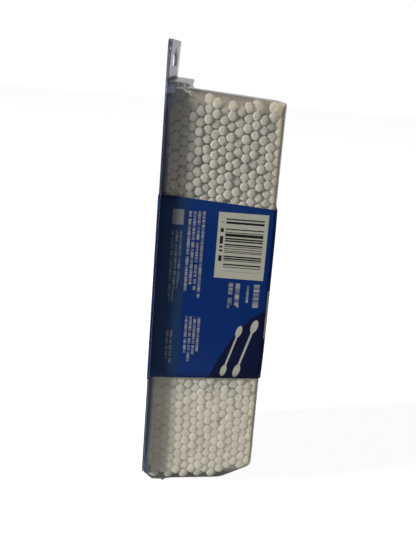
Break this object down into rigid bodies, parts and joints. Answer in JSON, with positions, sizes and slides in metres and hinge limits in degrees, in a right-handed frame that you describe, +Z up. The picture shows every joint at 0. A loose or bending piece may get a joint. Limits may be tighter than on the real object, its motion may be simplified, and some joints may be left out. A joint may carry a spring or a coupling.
{
  "type": "cotton swab tub",
  "caption": "Tall clear tub of cotton swabs with a flat back panel, a header with a hang slot and a printed band round its middle.",
  "frame": {"origin": "centre of the hang slot, on the back face of the back panel", "axes": "+X towards the tub's front wall, +Y along the swabs, +Z up towards the header's top edge"},
  "size_m": [0.0654, 0.0888, 0.2547],
  "materials": {
    "clear_plastic": "clear formed sheet",
    "panel_plastic": "dark blue gloss sheet",
    "label_card": "printed coated card",
    "cotton": "wound cotton",
    "stick_paper": "rolled paper"
  },
  "bodies": {
    "root": {"tub": "clear_plastic", "back_panel": "panel_plastic", "wrap_label": "label_card", "cotton_tips_01": "cotton", "cotton_tips_02": "cotton", "cotton_tips_03": "cotton", "cotton_tips_04": "cotton", "cotton_tips_05": "cotton", "cotton_tips_06": "cotton", "cotton_tips_07": "cotton", "cotton_tips_08": "cotton", "cotton_tips_09": "cotton", "cotton_tips_10": "cotton", "cotton_tips_11": "cotton", "cotton_tips_12": "cotton", "cotton_tips_13": "cotton", "cotton_tips_14": "cotton", "cotton_tips_15": "cotton", "swab_sticks_01": "stick_paper", "swab_sticks_02": "stick_paper", "swab_sticks_03": "stick_paper", "swab_sticks_04": "stick_paper", "swab_sticks_05": "stick_paper", "swab_sticks_06": "stick_paper", "swab_sticks_07": "stick_paper", "swab_sticks_08": "stick_paper", "swab_sticks_09": "stick_paper", "swab_sticks_10": "stick_paper", "swab_sticks_11": "stick_paper", "swab_sticks_12": "stick_paper", "swab_sticks_13": "stick_paper", "swab_sticks_14": "stick_paper", "swab_sticks_15": "stick_paper"}
  },
  "joints": []
}
